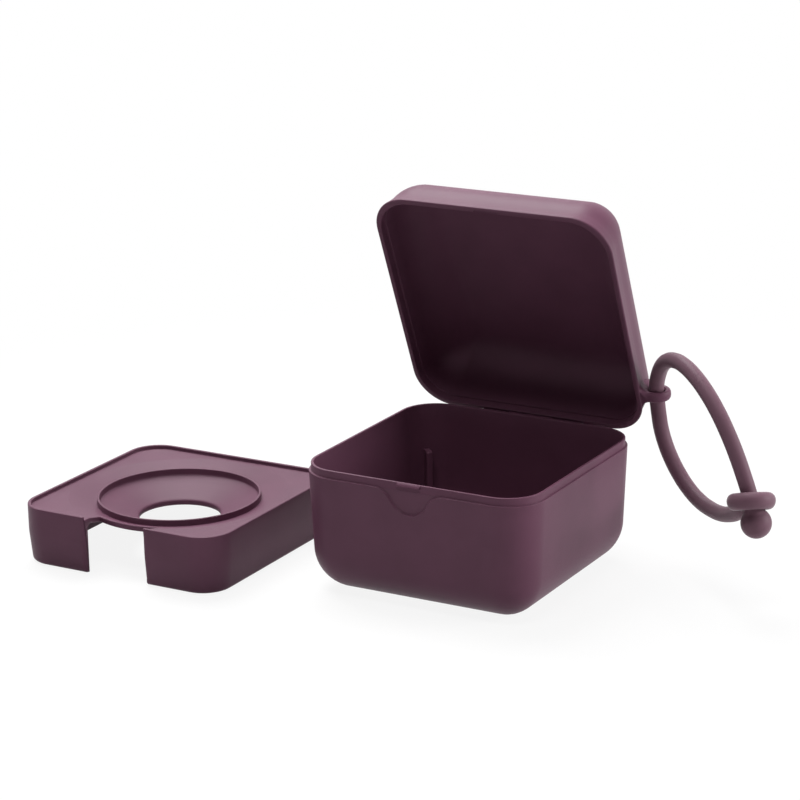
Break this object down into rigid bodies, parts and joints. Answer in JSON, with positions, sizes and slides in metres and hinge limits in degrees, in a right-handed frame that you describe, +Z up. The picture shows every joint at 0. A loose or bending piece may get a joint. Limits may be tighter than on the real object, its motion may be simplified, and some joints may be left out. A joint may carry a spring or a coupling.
{
  "type": "pacifier sterilizer case",
  "caption": "Square moulded case with a hinged lid, a lift-out tray with a teat hole and a carrying strap looped through an eyelet on the lid.",
  "frame": {"origin": "centre of the flat underside of the base", "axes": "+X to the right as the user faces the thumb recess, +Y towards the hinge, +Z up"},
  "size_m": [0.2318, 0.1148, 0.1175],
  "materials": {
    "shell_plastic": "fine matte, moulded through in dark plum",
    "pin_plastic": "smooth",
    "strap_silicone": "soft matte silicone in the same plum"
  },
  "bodies": {
    "base": {"base": "shell_plastic", "hinge_pin": "pin_plastic"},
    "lid": {"lid": "shell_plastic", "strap_lug": "shell_plastic"},
    "strap": {"strap_cord": "strap_silicone", "strap_eye": "strap_silicone", "strap_ball": "strap_silicone"},
    "tray": {"tray": "shell_plastic"}
  },
  "joints": [
    {"name": "lid_hinge", "type": "hinge", "parent": "base", "child": "lid", "pos_m": [0, 0.0424, 0.0379], "axis": [-1, 0, 0], "range_deg": [-67, 23]},
    {"name": "strap_swivel", "type": "hinge", "parent": "lid", "child": "strap", "pos_m": [0.0444, 0.0421, 0.0535], "axis": [0, -0.0872, 0.9962], "range_deg": [-43, 120]},
    {"name": "tray_lift", "type": "slide", "parent": "base", "child": "tray", "axis": [0, 0, 1], "range_m": [0, 0.06]}
  ]
}
